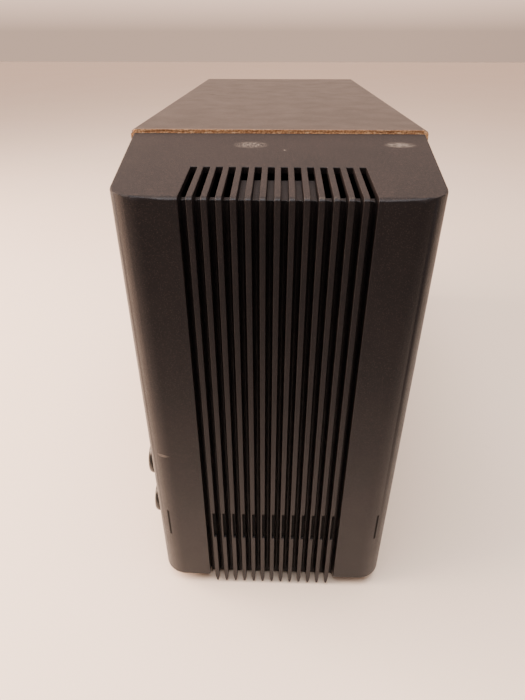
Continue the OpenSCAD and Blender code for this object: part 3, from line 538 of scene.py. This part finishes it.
def sleeve_pieces():
    """The wrapped sleeve, its raw near edge, and the wrap's frayed lip along it."""
    low, high = (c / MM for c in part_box("sleeve"))
    bm = solid_of("sleeve")
    round_edges(bm, 2.0, 4, 60, lambda e: all(
        abs(abs(v.co.x / MM) - high.x) < 0.01 and min(abs(v.co.z / MM - z) for z in (low.z, high.z)) < 0.01
        for v in e.verts) and abs(e.verts[0].co.y - e.verts[1].co.y) > 0.1)
    round_edges(bm, 0.3, 2, 50)
    wrap = piece("sleeve_wrap", from_bmesh(bm, "sleeve_wrap"), "cabinet", "vinyl_wrap")
    wrap.data.materials.append(FINISHES["raw_board"])
    for face in wrap.data.polygons:
        if abs(face.normal.y) > 0.9 and min(abs(face.center.y / MM - y) for y in (low.y, high.y)) < 0.05:
            face.material_index = 1
    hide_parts("sleeve")

    bm = bmesh.new()
    for x0, z0, x1, z1 in ((-72.6, high.z, 72.6, high.z), (-high.x, 8, -high.x, 241.6),
                           (high.x, 8, high.x, 241.6)):
        out = Vector((0, 1)) if z0 == z1 else Vector((math.copysign(1, x0), 0))
        count = int(math.hypot(x1 - x0, z1 - z0) / 0.55)
        rows = []
        for i in range(count + 1):
            t = i / count
            edge = Vector((x0 + (x1 - x0) * t, z0 + (z1 - z0) * t)) - out * 0.03
            torn = 0.25 + 1.15 * max(0, noise.noise((i * 0.21, x0, z0))) ** 0.7 + random.uniform(0, 0.45)
            inner = edge - out * min(torn, 1.35)
            bulge = random.uniform(0.1, 0.3)
            section = ((edge, low.y - bulge), (inner, low.y - bulge * 0.6), (inner, low.y), (edge, low.y))
            rows.append([bm.verts.new((MM * q.x, MM * y, MM * q.y)) for q, y in section])
        for one, two in zip(rows, rows[1:]):
            for k in range(4):
                bm.faces.new((one[k], two[k], two[(k + 1) % 4], one[(k + 1) % 4]))
        bm.faces.new(rows[0])
        bm.faces.new(rows[-1])
    fray = piece("wrap_frayed_lip", from_bmesh(bm, "wrap_frayed_lip"), "cabinet", "raw_board", 30)


def screw_heads(name, node, heads):
    """Cross-recessed pan heads: each is (place, axis, outward direction along it)."""
    bm = bmesh.new()
    for place, axis, out in heads:
        spin = random.uniform(0, math.pi)

        def cross(a, arm=1.85, half=0.36, spin=spin):
            c, s = abs(math.cos(a + spin)) + 1e-6, abs(math.sin(a + spin)) + 1e-6
            return max(min(arm / c, half / s), min(arm / s, half / c))

        outline = [(0, -1.0 * out), (cross, -1.0 * out), (cross, 0.02 * out), (2.4, 0), (3.2, -0.3 * out),
                   (3.5, -0.8 * out), (3.55, -1.6 * out), (1.9, -1.7 * out), (1.9, -6 * out), (0, -6.4 * out)]
        turned(bm, outline, place, axis, 72)
    heads_piece = piece(name, from_bmesh(bm, name), "cabinet", "screw_steel")
    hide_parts(node)


def knob_piece(name, node, body, z):
    """A turned knob: a stepped face with a raised rim, and a fine knurl between two rings."""
    low, high = (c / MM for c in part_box(node))
    r = (high.z - low.z) / 2
    x0, x1, y = low.x, high.x, (low.y + high.y) / 2
    bm = bmesh.new()
    outline = [(0, x0 + 0.85), (r - 3.2, x0 + 0.85), (r - 2.9, x0 + 0.6), (r - 2.6, x0 + 0.1), (r - 2.2, x0),
               (r - 1.2, x0 + 0.05), (r - 0.7, x0 + 0.3), (r - 0.35, x0 + 0.8), (r - 0.1, x0 + 1.3),
               (r, x0 + 1.7), (r, x0 + 2.5), (r - 0.45, x0 + 2.65), (r - 0.45, x0 + 3.0), (r, x0 + 3.15),
               (r, x0 + 5.2), (r - 0.45, x0 + 5.35), (r - 0.45, x0 + 5.7), (r, x0 + 5.85), (r, x1 - 0.3),
               (r - 0.4, x1), (0, x1)]
    turned(bm, outline, (0, y, z), "X", 120)
    for vert in bm.verts:
        p = vert.co / MM
        off = Vector((p.y - y, p.z - z))
        if x0 + 3.1 < p.x < x0 + 5.3 and off.length > r - 0.1:
            step = round(math.atan2(off.y, off.x) * 60 / math.pi)
            off *= 1 - 0.022 * (step % 2)
            vert.co.y, vert.co.z = MM * (y + off.x), MM * (z + off.y)
    made = piece(name, from_bmesh(bm, name), body, "knob_plastic", 30)
    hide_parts(node)
    mark = bmesh.new()
    block(mark, (x0 + 0.5, y - 0.35, z + 2.2), (x0 + 0.95, y + 0.35, z + r - 3.4))
    round_edges(mark, 0.1, 2)
    piece(name + "_mark", from_bmesh(mark, name + "_mark"), body, "cream_plastic")


def dial_place(x, y, z):
    """A point on the slanted dial wall: x inwards, y along the wall and z up from the dial's centre."""
    tilt = math.atan((COVER_BACK_HALF_W - COVER_NEAR_HALF_W) / COVER_L)
    wall = COVER_NEAR_HALF_W + DIAL_BACK * math.tan(tilt)
    middle_y, middle_z = DIAL_PLACE
    return (-wall + x * math.cos(tilt) - y * math.sin(tilt),
            middle_y + x * math.sin(tilt) + y * math.cos(tilt), middle_z + z)


def dial_bar(bm, low, high):
    """Adds a box in the dial wall's own directions."""
    for vert in block(bm, low, high):
        vert.co = Vector(dial_place(*(vert.co / MM))) * MM


def dial_pieces():
    """Bezel, a scale plate with plain graduations beside the pointer's travel, red band bars and the pointer.
    """
    refined("dial_bezel", "dial_bezel_ring", "cabinet", "bezel_metal", 0.35, 3)
    refined("dial_scale", "dial_scale_plate", "cabinet", "scale_plate", 0.3)
    bm = bmesh.new()
    front, behind = SCALE_FACE_X
    for i in range(41):
        z = -39 + i * 1.95
        long = 5.5 if i % 10 == 0 else 3.8 if i % 5 == 0 else 2.2
        dial_bar(bm, (front, -9.5, z - 0.25), (behind, -9.5 + long, z + 0.25))
        if i % 2 == 0:
            dial_bar(bm, (front, 9.2 - long * 0.7, z - 0.25), (behind, 9.2, z + 0.25))
    for y in (-10.2, 9.9):
        dial_bar(bm, (front, y - 0.25, -41), (behind, y + 0.25, 41))
    piece("dial_graduations", from_bmesh(bm, "dial_graduations"), "cabinet", "component_black")
    bm = bmesh.new()
    for z in (-46.5, 46.5):
        dial_bar(bm, (front, -7, z - 1.1), (behind, 7, z + 1.1))
    piece("dial_band_bars", from_bmesh(bm, "dial_band_bars"), "cabinet", "red_plastic")
    refined("dial_pointer", "dial_pointer_needle", "pointer", "pointer_red", 0.15)


def grille_pieces():
    refined("speaker_grille", "grille_bars", "cabinet", "grille_plastic", 0.45, 3)
    low, high = (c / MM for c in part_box("grille_cloth"))
    bm = bmesh.new()
    along, up = 90, 66
    across = [MM * (low.y + (high.y - low.y) * i / along) for i in range(along + 1)]
    heights = [MM * (low.z + (high.z - low.z) * j / up) for j in range(up + 1)]
    sheet = [[[bm.verts.new((MM * x, y, z)) for z in heights] for y in across] for x in (low.x, high.x)]
    for side, rows in enumerate(sheet):
        for i in range(along):
            for j in range(up):
                quad = [rows[i][j], rows[i][j + 1], rows[i + 1][j + 1], rows[i + 1][j]]
                bm.faces.new(quad if side == 0 else quad[::-1])
    front, back = sheet
    rim = [(i, 0) for i in range(along)] + [(along, j) for j in range(up)] + \
          [(i, up) for i in range(along, 0, -1)] + [(0, j) for j in range(up, 0, -1)]
    for a, b in zip(rim, rim[1:] + rim[:1]):
        bm.faces.new((front[a[0]][a[1]], front[b[0]][b[1]], back[b[0]][b[1]], back[a[0]][a[1]]))
    for row in front:
        for vert in row:
            p = vert.co / MM
            vert.co.x += MM * (0.25 + 0.2 * noise.noise((p.y * 0.03, p.z * 0.03, 0)))
    cloth = piece("grille_weave", from_bmesh(bm, "grille_weave"), "cabinet", "grille_cloth")
    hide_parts("grille_cloth")


def foot_pieces():
    bm = bmesh.new()
    for x, y in FOOT_PLACES:
        turned(bm, [(0, 0.6), (4.6, 0.6), (5.0, 0.4), (5.3, 0), (8.2, 0), (8.9, 0.15), (9.5, 0.7),
                    (9.9, 1.6), (9.9, 2.2), (9.6, 2.4), (9.6, 2.8), (9.9, 3.0), (9.9, 5), (0, 5)],
               (x, y, 0), "Z", 48)
    feet = piece("rubber_feet", from_bmesh(bm, "rubber_feet"), "cabinet", "foot_rubber", 40)
    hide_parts("feet")


def connection_pieces():
    for node, slot in (("connection_panel", "component_black"), ("aerial_socket", "red_plastic"),
                       ("earth_socket", "component_black"), ("earphone_jack", "nickel_plate"),
                       ("mains_inlet", "component_black")):
        refined(node, node + "_part", "cabinet", slot, 0.25)
    low, high = (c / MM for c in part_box("fuse_holder"))
    y, z = (low.y + high.y) / 2, (low.z + high.z) / 2
    bm = bmesh.new()
    turned(bm, [(0, low.x), (6, low.x), (6, 66), (7.5, 66), (7.5, high.x - 1), (7.1, high.x - 0.4),
                (6.4, high.x), (5, high.x), (4.7, high.x - 0.5), (0, high.x - 0.5)], (0, y, z), "X", 72)
    for vert in bm.verts:
        p = vert.co / MM
        off = Vector((p.y - y, p.z - z))
        if p.x > 66.5 and off.length > 7.2 and round(math.atan2(off.y, off.x) * 36 / math.pi) % 3 == 0:
            off *= 0.95
            vert.co.y, vert.co.z = MM * (y + off.x), MM * (z + off.y)
    cap = piece("fuse_cap", from_bmesh(bm, "fuse_cap"), "cabinet", "component_black", 30)
    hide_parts("fuse_holder")
    slot_bar = bmesh.new()
    block(slot_bar, (high.x - 0.52, y - 3.6, z - 0.5), (high.x - 0.3, y + 3.6, z + 0.5))
    piece("fuse_cap_slot", from_bmesh(slot_bar, "fuse_cap_slot"), "cabinet", "nickel_plate")


def inner_trim():
    """Colour bands on the resistors, which the CAD leaves plain."""
    bm = bmesh.new()
    for y in RESISTOR_Y:
        for z in RESISTOR_Z:
            for step in (-2.1, -0.9, 0.3, 1.9):
                low, high = step - 0.25, step + 0.25
                turned(bm, [(1.19, low), (1.27, low), (1.27, high), (1.19, high), (1.19, low)],
                       (36.8, y, z), "Z", 20)
    bmesh.ops.remove_doubles(bm, verts=bm.verts, dist=1e-6)
    piece("resistor_bands", from_bmesh(bm, "resistor_bands"), "cabinet", "red_plastic")


# ---------- floor and light ----------
def make_stage():
    mesh = bpy.data.meshes.new("floor")
    mesh.from_pydata([(-6, -6, 0), (6, -6, 0), (6, 6, 0), (-6, 6, 0)], [], [(0, 1, 2, 3)])
    floor = bpy.data.objects.new("floor", mesh)
    f = Finish("floor", (0.92, 0.8, 0.7), 0.5)
    f.tint(f.range(f.noise(300, 3), 0.3, 0.8), (0.94, 0.83, 0.74))
    # painted shade: the floor is painted darker from 270 to 440 mm in front of the set, towards the camera
    f.tint(f.along("Y", -270, -440), (0.24, 0.21, 0.19))
    mesh.materials.append(f.done())
    bpy.context.collection.objects.link(floor)


def make_light():
    """A studio that is bright beyond the set and to its left, and dim behind the camera."""
    world = bpy.data.worlds.new("studio")
    bpy.context.scene.world = world
    world.use_nodes = True
    tree = world.node_tree
    coords = tree.nodes.new("ShaderNodeTexCoord")
    across = tree.nodes.new("ShaderNodeVectorMath")
    across.operation = "DOT_PRODUCT"
    across.inputs[1].default_value = (-0.45, 0.85, 0.1)
    fade = tree.nodes.new("ShaderNodeMapRange")
    mix = tree.nodes.new("ShaderNodeMix")
    mix.data_type = "RGBA"
    fade.inputs["From Min"].default_value = -0.95
    fade.inputs["From Max"].default_value = 0.75
    mix.inputs[6].default_value = (0.09, 0.08, 0.076, 1)
    mix.inputs[7].default_value = (1.0, 0.68, 0.52, 1)
    tree.links.new(coords.outputs["Generated"], across.inputs[0])
    tree.links.new(across.outputs["Value"], fade.inputs["Value"])
    tree.links.new(fade.outputs["Result"], mix.inputs["Factor"])
    tree.links.new(mix.outputs[2], tree.nodes["Background"].inputs["Color"])
    height = tree.nodes.new("ShaderNodeSeparateXYZ")
    rise = tree.nodes.new("ShaderNodeMapRange")
    for socket, number in zip(RANGE_SOCKETS, (0.0, 0.045, 0.75, 1.5)):
        rise.inputs[socket].default_value = number
    tree.links.new(coords.outputs["Generated"], height.inputs["Vector"])
    tree.links.new(height.outputs["Z"], rise.inputs["Value"])
    tree.links.new(rise.outputs["Result"], tree.nodes["Background"].inputs["Strength"])
    area_light("window", (-1.05, -0.12, 0.75), (-0.15, -0.18, 0.0), (0.9, 0.75), 46, (1.0, 0.7, 0.52))
    area_light("overhead", (-0.1, -0.4, 1.7), (0, -0.15, 0), (1.5, 1.2), 46, (1.0, 0.93, 0.87))


FINISHES = all_finishes()
make_camera()
make_stage()
make_light()
cover_pieces()
sleeve_pieces()
refined("far_panel", "far_panel_board", "cabinet", "far_panel_board", 0.4)
screw_heads("panel_screw_heads", "panel_screws",
            [((x, 203, z), "Y", 1) for x in (-58, 58) for z in (30, 219)])
screw_heads("cover_screw_heads", "cover_screws",
            [((x, -110, 6), "Z", -1) for x in (-40, 40)] + [((74, -110, z), "X", 1) for z in (60, 190)])
foot_pieces()
grille_pieces()
knob_piece("tuning_knob_cap", "tuning_knob", "tuning_shaft", 64)
knob_piece("volume_knob_cap", "volume_knob", "volume_shaft", 30)
dial_pieces()
connection_pieces()
inner_trim()

# the remaining CAD nodes keep their shape and take their finish
slot_of = {part["node"]: part["material_slot"] for part in frame["record"]["subparts"]}
for node, obj in nodes.items():
    for holder in obj.material_slots:
        holder.material = FINISHES[slot_of[node]]
